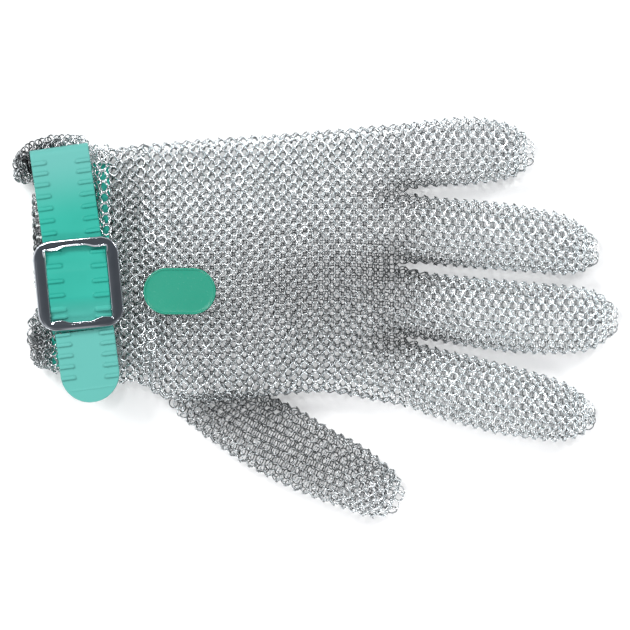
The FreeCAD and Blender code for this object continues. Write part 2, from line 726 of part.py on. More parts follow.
def make_tag():
    """Oval tag: a rimmed plate on the mesh, a backing plate inside, two rivets between."""
    frame = tag_frame()
    half_length, half_width = "{tag_length} / 2", "{tag_width} / 2"
    front = pad_body(
        "tag_front_part", lambda sketch: draw_stadium(sketch, half_length, half_width),
        "{tag_thickness}", frame, ("0", "0", "{tag_bottom_z}"))
    rim = "{tag_rim_width}"
    pocket(front, "tag_face",
           lambda sketch: draw_stadium(sketch, f"{half_length} - {rim}", f"{half_width} - {rim}"),
           "{tag_rim_height}", lift="{tag_thickness}")
    back = pad_body(
        "tag_back_part",
        lambda sketch: draw_stadium(sketch, f"{half_length} - 2 * {rim}",
                                    f"{half_width} - 2 * {rim}"),
        "{tag_back_thickness}", frame, ("0", "0", "{tag_back_top_z} - {tag_back_thickness}"))
    rivets = []
    for side in ("-", ""):
        rivets.append(cylinder(
            f"tag_rivet_{len(rivets)}", frame, Rotation(), "{rivet_diameter} / 2",
            "{tag_bottom_z} - {tag_back_top_z}",
            (f"{side}{{rivet_spacing}} / 2", "0", "{tag_back_top_z}")))
    group = doc.addObject("Part::Compound", "tag_rivets_part")
    group.Links = rivets
    return {"tag_front_plate": front, "tag_back_plate": back, "tag_rivets": group}


# ---------------------------------------------------------------- make, check, write

def make_all():
    """Every sub-part by node name."""
    nodes = {}
    nodes.update(make_hand())
    for finger in FINGER_SECTIONS:
        nodes.update(make_finger(finger))
    nodes.update(make_thumb())
    nodes.update(make_wrist_band())
    nodes.update(make_strap_run())
    nodes.update(make_strap_fold())
    nodes.update(make_threaded_span())
    nodes.update(make_tail())
    nodes.update(make_anchor_loop())
    nodes.update(make_buckle())
    nodes.update(make_tag())
    for node, part in nodes.items():
        part.Label = node
    doc.recompute()
    return nodes


def check_and_write(nodes):
    """Write one STEP file per node, once every object and shape is sound."""
    for obj in doc.Objects:
        if "Invalid" in obj.State or "Error" in obj.State:
            raise RuntimeError(f"{obj.Label} did not recompute: {obj.State}")
    for node, part in nodes.items():
        if part.Shape.isNull() or not part.Shape.isValid() or not part.Shape.Solids:
            raise RuntimeError(f"{node} has no sound solid")
    os.makedirs("parts", exist_ok=True)
    for node, part in nodes.items():
        part.Shape.exportStep(f"parts/{node}.step")
        box_size = part.Shape.optimalBoundingBox(False)
        print(f"{node}: {part.Shape.Volume:.1f} mm3, {len(part.Shape.Solids)} solid(s), "
              f"{box_size.XLength:.1f} x {box_size.YLength:.1f} x {box_size.ZLength:.1f}")


fill_sheet()
check_and_write(make_all())
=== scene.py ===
"""Ring-mesh cut resistant glove: camera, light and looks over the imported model, in metres.

The mesh is thousands of separate wire rings. Rows of rings run along the hand into the fingers,
every second row is shifted by half a ring, and the rings of neighbouring rows lean opposite ways.
"""
import math

import bpy
import numpy as np
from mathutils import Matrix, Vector


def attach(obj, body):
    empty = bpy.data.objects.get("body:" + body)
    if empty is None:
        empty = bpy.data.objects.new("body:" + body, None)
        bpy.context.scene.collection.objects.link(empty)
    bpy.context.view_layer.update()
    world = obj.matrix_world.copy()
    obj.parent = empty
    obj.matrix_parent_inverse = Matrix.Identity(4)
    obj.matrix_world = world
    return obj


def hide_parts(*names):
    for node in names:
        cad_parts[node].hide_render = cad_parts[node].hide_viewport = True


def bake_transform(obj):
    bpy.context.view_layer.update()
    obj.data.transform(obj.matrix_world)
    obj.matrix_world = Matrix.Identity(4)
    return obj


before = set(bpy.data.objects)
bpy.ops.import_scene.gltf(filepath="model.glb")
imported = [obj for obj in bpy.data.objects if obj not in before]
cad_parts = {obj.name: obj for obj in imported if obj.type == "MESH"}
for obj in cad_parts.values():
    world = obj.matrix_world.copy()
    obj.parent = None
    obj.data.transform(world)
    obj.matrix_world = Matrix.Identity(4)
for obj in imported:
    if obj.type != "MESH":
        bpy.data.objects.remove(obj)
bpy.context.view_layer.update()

MM = 0.001
rng = np.random.default_rng(20)

# ------------------------------------------------------------------ sizes, in millimetres

RING_RADIUS = 1.8        # middle of the wire
WIRE_RADIUS, FINGER_WIRE, LOOSE_WIRE = 0.23, 0.22, 0.29
HAND_PITCH = 4.15        # from ring to ring along a row
FINGER_PITCH, THUMB_PITCH, TIP_PITCH = 3.75, 3.9, 2.6
TILT = math.radians(30)
INSET = 1.1              # middle of the rings inside the mesh's outer size
LOWERED = 0.15           # trimmed off the underside, so the upper mesh sits lower
TURN_JITTER, PLACE_JITTER, SIZE_JITTER = 0.05, 0.07, 0.012

# Sections: place along the tube, middle across it, width, height, height of the middle.
HAND = [(-118, 24, 76, 17, 9.5), (-106, 22, 80, 19, 10), (-102, 22.5, 87, 20, 10),
        (-94, 22, 90, 20, 10), (-80, 18, 91, 19.5, 9.75), (-68, 19.6, 90.6, 19, 9.5),
        (-58, 17, 97.4, 18.7, 9.35), (-45, 16.9, 99.8, 18.4, 9.2), (-30, 17.6, 100.6, 18.2, 9.1),
        (-15, 19, 99.8, 18, 9), (5, 20.4, 100.2, 17, 8.5),
        (29, 19.3, 106.6, 16, 8), (60, 19.3, 108, 16, 8)]
FINGERS = {
    "little": [(15, 60.4, 25, 15, 7.5), (29, 60.4, 25, 15, 7.5), (45, 61.6, 26, 15, 7.5),
               (60, 62.4, 26.2, 15, 7.5), (70, 62.4, 23.6, 15, 7.5), (84, 61.6, 21, 14, 7.5)],
    "ring": [(15, 33.6, 26, 16, 8), (29, 33.6, 26, 16, 8), (45, 32, 26.2, 16, 8),
             (75, 29.4, 26, 16, 8), (93, 27, 24, 16, 8), (109, 23.6, 21.6, 15, 8)],
    "middle": [(15, 6, 26, 16, 8), (29, 5, 26, 16, 8), (45, 3, 26.2, 16, 8),
               (75, -0.6, 27.8, 16, 8), (100, -1.8, 26, 16, 8), (116, -1.6, 23, 15, 8)],
    "index": [(15, -20, 25.4, 16, 8), (29, -21.5, 25.4, 16, 8), (45, -25.5, 27, 16, 8),
              (75, -32.8, 27.4, 16, 8), (91, -36, 24.8, 16, 8), (107, -38.6, 22, 15, 8)],
}
THUMB = [(-62, 7.5, 30, 16, 8), (-56, 7, 28, 16, 8), (-40, 2.8, 25.5, 16, 8),
         (-25, 1.2, 28, 16, 8), (-14, 0.9, 29, 16, 8), (0, -0.2, 27.6, 16, 8),
         (15, -0.2, 25.4, 16, 8), (24, -0.9, 23.2, 16, 8), (38, -1.2, 21.6, 15, 8)]
# Rounded tips: where each starts and ends along its tube, and half its width.
TIPS = {"little": (68.5, 82.4, 8.5), "ring": (91.5, 107, 9), "middle": (98.5, 114.4, 9.4),
        "index": (88.5, 105.4, 9.4), "thumb": (22, 35.8, 8.8)}
TIP_ROWS_KEEP = 0.7      # how narrow a tip, against its full width, the rows still reach
ROWS = 12                # over the top of each finger and of the thumb, and as many underneath
HAND_ROWS = ROWS * len(FINGERS)
FIRST_ROW = {name: number * ROWS for number, name in enumerate(FINGERS)}
BENDS = {"little": (54.6, 68.6), "ring": (63.6, 86), "middle": (66, 91), "index": (61.5, 83.5)}
MERGE = (21, 45)         # over which the palm turns into separate fingers
THUMB_ORIGIN, THUMB_ANGLE, THUMB_BEND = (0, -55), math.radians(-24.5), 4
THUMB_COS, THUMB_SIN = math.cos(THUMB_ANGLE), math.sin(THUMB_ANGLE)
THUMB_HIDDEN_Y = -30.4   # the palm covers the thumb's rings beyond this
THUMB_EDGE_X, THUMB_EDGE_Y = (-66, -58, -51, -40, -30), (-20, -31, -38, -47, -80)

BUCKLE_AT = (-89.6, 11.8)
BUCKLE_TURN, RUN_TURN, TAIL_TURN = (math.radians(a) for a in (5.5, 8.3, 7.3))
STRAP_WIDTH, STRAP_THICK, STRAP_MID_Z = 22.4, 1.7, 21.35
STRAP_STEP = 0.18        # between the points along it


# ------------------------------------------------------------------ meshes

def new_object(name, points, faces, uv=None):
    """A smooth mesh object. Points are in millimetres, and faces is an array of quads."""
    mesh = bpy.data.meshes.new(name)
    mesh.vertices.add(len(points))
    mesh.vertices.foreach_set("co", (np.asarray(points) * MM).astype(np.float32).ravel())
    mesh.loops.add(faces.size)
    mesh.loops.foreach_set("vertex_index", faces.astype(np.int32).ravel())
    mesh.polygons.add(len(faces))
    mesh.polygons.foreach_set("loop_start", np.arange(0, faces.size, 4, dtype=np.int32))
    mesh.polygons.foreach_set("use_smooth", np.ones(len(faces), dtype=bool))
    if uv is not None:
        layer = mesh.uv_layers.new(name="OFBake")
        layer.data.foreach_set("uv", uv.astype(np.float32).ravel())
    mesh.update(calc_edges=True)
    obj = bpy.data.objects.new(name, mesh)
    bpy.context.scene.collection.objects.link(obj)
    return obj


def loop_faces(stations, around, closed_along=False):
    """Quads over a grid of points whose rows are closed loops."""
    last = stations if closed_along else stations - 1
    i, j = np.meshgrid(np.arange(last), np.arange(around), indexing="ij")
    following = (i + 1) % stations
    side = (j + 1) % around
    quads = [i * around + j, i * around + side, following * around + side,
             following * around + j]
    return np.stack(quads, axis=-1).reshape(-1, 4)


def end_caps(stations, around):
    """Quads that close the first and the last loop, from one half of it across to the other."""
    k = np.arange(around // 2 - 1)
    caps = []
    for first, flip in ((0, 1), ((stations - 1) * around, -1)):
        cap = np.stack([first + k, first + k + 1, first + around - 2 - k,
                        first + around - 1 - k], axis=1)
        caps.append(cap[:, ::flip])
    return np.concatenate(caps)


def smoothstep(value, start, end):
    t = np.clip((np.asarray(value, float) - start) / (end - start), 0, 1)
    return t * t * (3 - 2 * t)


def unit(vectors):
    return vectors / np.maximum(np.linalg.norm(vectors, axis=-1, keepdims=True), 1e-12)


def through(x, xs, ys):
    """Smooth curve through points, read at x."""
    xs, ys = np.asarray(xs, float), np.asarray(ys, float)
    slopes = np.gradient(ys, xs)
    k = np.clip(np.searchsorted(xs, x) - 1, 0, len(xs) - 2)
    h = xs[k + 1] - xs[k]
    t = np.clip((x - xs[k]) / h, 0, 1)
    return ((2 * t**3 - 3 * t**2 + 1) * ys[k] + (t**3 - 2 * t**2 + t) * h * slopes[k]
            + (3 * t**2 - 2 * t**3) * ys[k + 1] + (t**3 - t**2) * h * slopes[k + 1])


# ------------------------------------------------------------------ the mesh's surfaces

HALF_LOOP = 64           # steps over the top of a tube, and as many underneath


class Tube:
    """A tube's middle surface. Around it, s goes 0-1 over the top and 1-2 back underneath."""

    def __init__(self, sections, powers):
        columns = np.array(sections, float).T
        self.x = np.arange(columns[0][0], columns[0][-1] + 0.01, 1.0)
        across, width, height, level = (through(self.x, columns[0], c) for c in columns[1:])
        steps = np.linspace(0, 1, HALF_LOOP + 1)
        table = np.empty((len(self.x), 2 * HALF_LOOP + 1, 2))
        angles = np.linspace(0, math.pi, 181)
        for k in range(len(self.x)):
            half_width, half_height = width[k] / 2 - INSET, height[k] / 2 - INSET
            for part, power in enumerate(powers):
                y = half_width * np.sign(np.cos(angles)) * np.abs(np.cos(angles)) ** (2 / power)
                z = half_height * np.abs(np.sin(angles)) ** (2 / power)
                if part:
                    y, z = -y, -z
                run = np.concatenate([[0], np.cumsum(np.hypot(np.diff(y), np.diff(z)))])
                share = steps * run[-1]
                rows = slice(HALF_LOOP * part, HALF_LOOP * (part + 1) + 1)
                table[k, rows, 0] = across[k] + np.interp(share, run, y)
                table[k, rows, 1] = level[k] + np.interp(share, run, z)
        self.table = table
        self.middle = np.stack([across, level], axis=1)

    def at(self, x, s):
        """Points at stations x and shares s round the loop, with the middle line's points."""
        k = np.clip((x - self.x[0]) / (self.x[1] - self.x[0]), 0, len(self.x) - 1.001)
        m = np.mod(s, 2) * HALF_LOOP
        k0, m0 = k.astype(int), np.minimum(m.astype(int), 2 * HALF_LOOP - 1)
        a, b = (k - k0)[:, None], (m - m0)[:, None]
        t = self.table
        yz = ((t[k0, m0] * (1 - b) + t[k0, m0 + 1] * b) * (1 - a)
              + (t[k0 + 1, m0] * (1 - b) + t[k0 + 1, m0 + 1] * b) * a)
        middle = self.middle[k0] * (1 - a) + self.middle[k0 + 1] * a
        return np.column_stack([x, yz]), np.column_stack([x, middle])


hand_tube = Tube(HAND, (2.9, 4.5))
finger_tubes = {name: Tube(sections, (2.3, 3)) for name, sections in FINGERS.items()}
thumb_tube = Tube(THUMB, (2.3, 3))


def wrinkles(p):
    """How far the slack mesh stands off its plain surface, at hand points."""
    x, y = p[:, 0], p[:, 1]
    cuff = 1 - smoothstep(x, -74, -38)
    folds = np.sin(0.34 * x + 0.11 * y + 0.9) * np.sin(0.17 * y - 0.05 * x)
    palm = np.sin(0.075 * x + 0.05 * y) * np.sin(0.06 * y - 0.045 * x + 1.3)
    return 1.3 * cuff * folds + 1.0 * palm * (1 - smoothstep(x, 25, 45))


def hand_surface(name, along, s):
    """Points of one finger's rows, from the cuff to the tip. Past the tip's start, along is
    measured round the tip."""
    x, scale = round_tip(along, name)
    finger, middle = finger_tubes[name].at(x, s)
    shrink = np.column_stack([np.ones_like(x), scale, scale**1.2])
    finger = middle + (finger - middle) * shrink
    first = FIRST_ROW[name]
    share = np.mod(s, 2)
    upper = (first + share * ROWS) / HAND_ROWS
    lower = 2 - (first + (2 - share) * ROWS) / HAND_ROWS
    palm, _ = hand_tube.at(np.minimum(x, 59), np.where(share < 1, upper, lower))
    palm[:, 2] += wrinkles(palm) * (share < 1)
    palm[:, 2] -= LOWERED * (share < 1)
    merge = smoothstep(x, *MERGE)[:, None]
    return palm * (1 - merge) + finger * merge


def thumb_surface(name, along, s):
    """Points of the thumb's rows, in the glove's frame. They lie lower near the crease."""
    x, scale = round_tip(along, name)
    p, middle = thumb_tube.at(x, s)
    p = middle + (p - middle) * np.column_stack([np.ones_like(x), scale, scale**1.2])
    y = THUMB_ORIGIN[1] + THUMB_SIN * p[:, 0] + THUMB_COS * p[:, 1]
    low = 0.55 + 0.45 * smoothstep(-y, 30, 41)
    return np.column_stack([THUMB_ORIGIN[0] + THUMB_COS * p[:, 0] - THUMB_SIN * p[:, 1], y,
                            INSET + (p[:, 2] - INSET) * low])


def tip_curve(name):
    """Length round a tip, nearly an ellipse, with the place and width share at each length."""
    start, end, half = TIPS[name]
    t = np.linspace(0, math.pi / 2, 91)
    x = start + (end - start) * np.sin(t)
    scale = np.maximum(1 - np.sin(t) ** 2.1, 0) ** (1 / 2.05)
    length = np.concatenate([[0], np.cumsum(np.hypot(np.diff(x), half * np.diff(scale)))])
    return length, x, scale


def round_tip(along, name):
    """Place along the tube and share of its width, at lengths that run on round the tip."""
    start = TIPS[name][0]
    length, x, scale = tip_curve(name)
    past = np.clip(along - start, 0, length[-1])
    return (np.where(along < start, along, np.interp(past, length, x)),
            np.where(along < start, 1.0, np.interp(past, length, scale)))


# ------------------------------------------------------------------ rings

class Rings:
    """Rings by centre, axis and a direction in their plane."""

    def __init__(self, centre, axis, along, radius, tag):
        self.centre, self.axis = centre, unit(axis)
        self.along = unit(along - self.axis * np.sum(along * self.axis, axis=1)[:, None])
        self.radius, self.tag = radius, tag

    def pick(self, mask):
        return Rings(self.centre[mask], self.axis[mask], self.along[mask],
                     self.radius[mask], self.tag[mask])


def join(groups):
    fields = ("centre", "axis", "along", "radius", "tag")
    return Rings(*(np.concatenate([getattr(g, f) for g in groups]) for f in fields))


def slack(p):
    """How far rings turn along and across their rows where the mesh lies loose."""
    x, y = p[:, 0], p[:, 1]
    loose = 0.3 + 0.7 * (1 - smoothstep(x, 20, 60))
    along = np.sin(0.21 * x + 0.34 * y) * np.sin(0.11 * y - 0.16 * x + 0.7)
    across = np.sin(0.29 * x - 0.13 * y + 1.1) * np.sin(0.19 * y + 0.08 * x)
    return 0.16 * (loose * along)[:, None], 0.16 * (loose * across)[:, None]


def rings_on(surface, name, along, s, lean):
    """Rings on a surface. Lean is the signed tilt of each."""
    step, ds = 0.3, 0.01
    p = surface(name, along, s)
    t_u = unit(surface(name, along + step, s) - surface(name, along - step, s))
    t_v = unit(surface(name, along, s + ds) - surface(name, along, s - ds))
    normal = unit(np.cross(t_v, t_u))
    outward = np.sign(np.sum(normal * (p - surface(name, along, s + 1)), axis=1))
    normal *= np.where(outward == 0, 1, outward)[:, None]
    axis = normal * np.cos(lean)[:, None] + t_u * np.sin(lean)[:, None]
    turn_along, turn_across = slack(p)
    axis += t_u * turn_along + t_v * turn_across + rng.normal(0, TURN_JITTER, axis.shape)
    p = p + rng.normal(0, PLACE_JITTER, p.shape)
    radius = RING_RADIUS * (1 + rng.normal(0, SIZE_JITTER, len(p)))
    return Rings(p, axis, t_u, radius, np.asarray(s, float) % 2)


def pitch_at(name, x):
    """Distance from ring to ring along a row, at x."""
    if name == "thumb":
        return THUMB_PITCH
    return HAND_PITCH + (FINGER_PITCH - HAND_PITCH) * smoothstep(x, 20, 50)


def columns(name, start, end):
    """Places of ring columns along a row, with a half column between each two."""
    places = [start]
    while places[-1] < end:
        places.append(places[-1] + pitch_at(name, places[-1]) / 2)
    return np.array(places)


def weave(surface, name, start, first_row):
    """All rings of one tube. Its rounded tip has columns across, with fewer rings as it narrows,
    and its last rings lie flatter."""
    tip_start = TIPS[name][0]
    length, _, scale = tip_curve(name)
    rows_end = tip_start + float(np.interp(-TIP_ROWS_KEEP, -scale, length))
    half_columns = columns(name, start, rows_end)
    groups = []
    for row in range(2 * ROWS):
        parity = (first_row + row) % 2
        along = half_columns[parity::2]
        s = np.full(len(along), (row + 0.5) / ROWS)
        lean = np.full(len(along), TILT if parity else -TILT)
        groups.append(rings_on(surface, name, along, s, lean))
    past = half_columns[-1] + TIP_PITCH - tip_start
    column = 0
    while past < length[-1] - 1.3:
        share = float(np.interp(past, length, scale))
        count = max(5, 2 * round(ROWS * share * 0.6))
        s = (np.arange(count) + 0.5 * (column % 2)) * 2 / count
        along = np.full(count, tip_start + past)
        lean = np.full(count, TILT if column % 2 else -TILT) * 0.8
        rings = rings_on(surface, name, along, s, lean)
        if share < 0.55:
            up = np.where(rings.tag < 1, 0.9, -0.9)[:, None] * (0, 0, 1)
            rings = Rings(rings.centre, rings.axis + up, rings.along, rings.radius, rings.tag)
        groups.append(rings)
        past += TIP_PITCH
        column += 1
    return join(groups)


# Soft patches of painted shade on the rings (painted light where the amount is negative): place,
# reach and how much.
# They are the palm, the creases between fingers, the fingers, the thumb and the cuff.
PAINTED_SHADE_AND_LIGHT = [(0, 10, 36, 22, 0.56), (30, 16, 12, 38, 0.34), (38, 47, 18, 4.5, 0.62),
        (40, 18, 19, 4.5, 0.62), (38, -10, 19, 4.5, 0.62), (75, -1, 40, 12, -0.08),
        (70, 29, 34, 12, -0.06), (-20, -20, 40, 12, 0.06), (-30, -40, 24, 9, 0.5),
        (-8, -50, 26, 15, 0.52), (12, -58, 26, 13, 0.38), (-28, -35, 22, 3.4, 0.45),
        (-72, 44, 9, 18, 0.4), (-60, 5, 24, 26, 0.26), (-20, -20, 40, 14, 0.14),
        (-106, 60, 14, 11, 0.78), (-106, 28, 5, 18, 0.85), (-106, -10, 10, 16, 0.66)]


def ring_shade_and_mottle(rings):
    """How bright each ring is drawn, from 0 to 1: painted shade, with a little random variation of
    the steel. The lower layer, the fingers' edges towards the thumb and the patches above are
    painted darker, as if in shade."""
    x, y, _ = rings.centre.T
    tone = np.full(len(x), 0.93)
    for at_x, at_y, reach_x, reach_y, amount in PAINTED_SHADE_AND_LIGHT:
        tone -= amount * np.exp(-((x - at_x) / reach_x) ** 2 - ((y - at_y) / reach_y) ** 2)
    # Painted shade along the fingers' edges towards the thumb.
    tone -= 0.2 * smoothstep(rings.tag, 0.7, 1) * smoothstep(x, 25, 45)
    # Painted shade over the whole lower layer, which lies in the upper layer's shadow.
    lower_layer_shade = 0.35 + 0.12 * smoothstep(x, 30, 60)
    tone *= np.where(rings.tag >= 1, lower_layer_shade, 1) * (1 + rng.normal(0, 0.1, len(x)))
    return np.clip(tone, 0.12, 1)


def set_tone(obj, values):
    layer = obj.data.attributes.new("tone", "FLOAT", "POINT")
    layer.data.foreach_set("value", np.asarray(values, np.float32).ravel())


AROUND_FINE, ACROSS_FINE = 20, 8
AROUND_PLAIN, ACROSS_PLAIN = 14, 6


def ring_object(name, rings, around, across, thickness=WIRE_RADIUS):
    """One mesh of many rings: each a wire ring with the slight swelling of its weld. Each has
    its own square of the bake layout."""
    count = len(rings.centre)
    turn = np.linspace(0, 2 * math.pi, around, endpoint=False)
    round_wire = np.linspace(0, 2 * math.pi, across, endpoint=False)
    weld = rng.uniform(0, 2 * math.pi, count)
    apart = np.angle(np.exp(1j * (turn[None] - weld[:, None])))
    wire = thickness * (1 + 0.3 * np.exp(-(apart / 0.22) ** 2))
    side = np.cross(rings.axis, rings.along)
    spoke = (rings.along[:, None] * np.cos(turn)[None, :, None]
             + side[:, None] * np.sin(turn)[None, :, None])
    reach = rings.radius[:, None, None] + wire[:, :, None] * np.cos(round_wire)
    lift = wire[:, :, None] * np.sin(round_wire)
    points = (rings.centre[:, None, None] + spoke[:, :, None] * reach[..., None]
              + rings.axis[:, None, None] * lift[..., None])
    one = loop_faces(around, across, closed_along=True)
    per_ring = around * across
    faces = (one[None] + np.arange(count)[:, None, None] * per_ring).reshape(-1, 4)
    i, j = np.meshgrid(np.arange(around), np.arange(across), indexing="ij")
    corners = np.stack([np.stack([i + a, j + b], axis=-1)
                        for a, b in ((0, 0), (0, 1), (1, 1), (1, 0))], axis=2)
    corners = corners.reshape(-1, 4, 2) / np.array([around, across])
    cells = math.ceil(math.sqrt(count))
    origin = np.stack([np.arange(count) % cells, np.arange(count) // cells], axis=1)
    uv = (origin[:, None, None] + 0.04 + 0.92 * corners[None]) / cells
    obj = new_object(name, points.reshape(-1, 3), faces, uv.reshape(-1, 2))
    set_tone(obj, np.repeat(ring_shade_and_mottle(rings), per_ring))
    return obj


# ------------------------------------------------------------------ materials

def material(name):
    mat = bpy.data.materials.new(name)
    mat.use_nodes = True
    nodes = mat.node_tree.nodes
    return mat, nodes, mat.node_tree.links, nodes["Principled BSDF"]


def noise(nodes, links, scale, detail):
    where = nodes.new("ShaderNodeTexCoord")
    texture = nodes.new("ShaderNodeTexNoise")
    texture.inputs["Scale"].default_value = scale
    texture.inputs["Detail"].default_value = detail
    links.new(where.outputs["Object"], texture.inputs["Vector"])
    return texture.outputs["Fac"]


def ramp(nodes, links, source, stops):
    node = nodes.new("ShaderNodeValToRGB")
    links.new(source, node.inputs["Fac"])
    elements = node.color_ramp.elements
    for element, (place, colour) in zip(elements, (stops[0], stops[-1])):
        element.position, element.color = place, (*colour, 1)
    for place, colour in stops[1:-1]:
        elements.new(place).color = (*colour, 1)
    return node.outputs["Color"]


def spread(nodes, links, source, low, high):
    node = nodes.new("ShaderNodeMapRange")
    node.inputs["From Min"].default_value = 0.3
    node.inputs["From Max"].default_value = 0.7
    node.inputs["To Min"].default_value = low
    node.inputs["To Max"].default_value = high
    links.new(source, node.inputs["Value"])
    return node.outputs["Result"]


def bump(nodes, links, shader, source, strength, distance):
    node = nodes.new("ShaderNodeBump")
    node.inputs["Strength"].default_value = strength
    node.inputs["Distance"].default_value = distance
    links.new(source, node.inputs["Height"])
    links.new(node.outputs["Normal"], shader.inputs["Normal"])


def toned(nodes, links, colour, low):
    """A colour mixed towards a second colour where the mesh's tone is low: painted shade on the
    rings, painted sheen on the strap.
    """
    tone = nodes.new("ShaderNodeAttribute")
    tone.attribute_name = "tone"
    mix = nodes.new("ShaderNodeMix")
    mix.data_type = "RGBA"
    mix.inputs["A"].default_value = (*low, 1)
    links.new(tone.outputs["Fac"], mix.inputs["Factor"])
    links.new(colour, mix.inputs["B"])
    return mix.outputs["Result"]


def metal(name, dark, light, rough, grain, low=None):
    mat, nodes, links, shader = material(name)
    shader.inputs["Metallic"].default_value = 1.0
    broad = noise(nodes, links, grain / 12, 3)
    fine = noise(nodes, links, grain, 5)
    colour = ramp(nodes, links, broad, [(0.3, dark), (0.7, light)])
    links.new(toned(nodes, links, colour, low) if low else colour, shader.inputs["Base Color"])
    links.new(spread(nodes, links, fine, *rough), shader.inputs["Roughness"])
    return mat


def plastic(name, deep, pale, rough, grain, relief, low=None, shine=0.16):
    mat, nodes, links, shader = material(name)
    broad = noise(nodes, links, 45, 4)
    fine = noise(nodes, links, grain, 6)
    colour = ramp(nodes, links, broad, [(0.3, deep), (0.7, pale)])
    links.new(toned(nodes, links, colour, low) if low else colour, shader.inputs["Base Color"])
    links.new(spread(nodes, links, fine, *rough), shader.inputs["Roughness"])
    shader.inputs["Specular IOR Level"].default_value = shine
    bump(nodes, links, shader, fine, relief, 0.00008)
    return mat


# Its last colour is the painted shade that the rings' tone mixes in.
ring_steel = metal("ring_steel", (0.83, 0.885, 0.905), (0.925, 0.965, 0.98), (0.12, 0.22), 900,
                   (0.03, 0.031, 0.034))
buckle_steel = metal("buckle_steel", (0.46, 0.49, 0.53), (0.6, 0.63, 0.67), (0.025, 0.05), 700)
# Its last colour is a paler green, a painted sheen that the strap's tone mixes in.
strap_green = plastic("strap_green", (0.02, 0.302, 0.237), (0.027, 0.338, 0.268), (0.36, 0.46),
                      1600, 0.2, (0.13, 0.39, 0.36))
# The inner run's green, painted lighter than the strap's to make up for the shade under the mesh;
# the anchor loop shares it.
brightened_inner_green = plastic("brightened_inner_green", (0.03, 0.45, 0.35), (0.04, 0.5, 0.4), (0.36, 0.46),
                      1600, 0.2)
tag_green = plastic("tag_green", (0.017, 0.232, 0.155), (0.02, 0.25, 0.168), (0.2, 0.28),
                    1200, 0.08, shine=0.35)


# ------------------------------------------------------------------ the hand's rings

def finish_piece(obj, mat, slot, *nodes):
    obj.data.materials.clear()
    obj.data.materials.append(mat)
    if nodes:
        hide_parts(*nodes)
    return obj


def ring_piece(name, rings, nodes, body=None, fine=True, thickness=WIRE_RADIUS):
    sizes = (AROUND_FINE, ACROSS_FINE) if fine else (AROUND_PLAIN, ACROSS_PLAIN)
    obj = ring_object(name, rings, *sizes, thickness)
    finish_piece(obj, ring_steel, "ring_mesh", *nodes)
    if body:
        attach(obj, body)
    return obj


CUFF_SPLIT_X, FINGERS_FROM_X = -76, 27
UPPER_EDGES_X = [CUFF_SPLIT_X, -50, -25, 2, FINGERS_FROM_X]
LOWER_EDGES_X = [CUFF_SPLIT_X, -30, FINGERS_FROM_X]
CUFF_EDGE_Y = [-30, -23, -20, -10, -2, 4, 10, 45, 50, 53, 60, 66, 70]
CUFF_EDGE_X = [-74, -97, -102, -108, -107.5, -102, -100, -101.5, -106, -109, -110, -104, -100]
OPEN_COLUMN = (-82.4, -78.2)      # in x, and in y below: the slack column beside the strap
OPEN_ROWS = (31, 63)
CUFF_CORNER = [(-113, 57), (-111.6, 60), (-109.2, 62.8), (-106, 64.6), (-102.4, 65.6),
               (-98.6, 66.4), (-94.8, 66.8), (-91, 66.6), (-87.2, 65.9)]

woven = {name: weave(hand_surface, name, -116, FIRST_ROW[name]) for name in FINGERS}


def trim_cuff(rings):
    """Leaves out what is past the cuff's edge, and the slack column beside the strap."""
    x, y, _ = rings.centre.T
    keep = x > np.interp(y, CUFF_EDGE_Y, CUFF_EDGE_X)
    upper = rings.tag < 1
    in_column = ((x > OPEN_COLUMN[0]) & (x < OPEN_COLUMN[1]) & (y > OPEN_ROWS[0])
                 & (y < OPEN_ROWS[1]) & upper)
    return rings.pick(keep & ~in_column)


woven = {name: trim_cuff(rings) for name, rings in woven.items()}
palm = join([rings.pick(rings.centre[:, 0] < FINGERS_FROM_X) for rings in woven.values()])


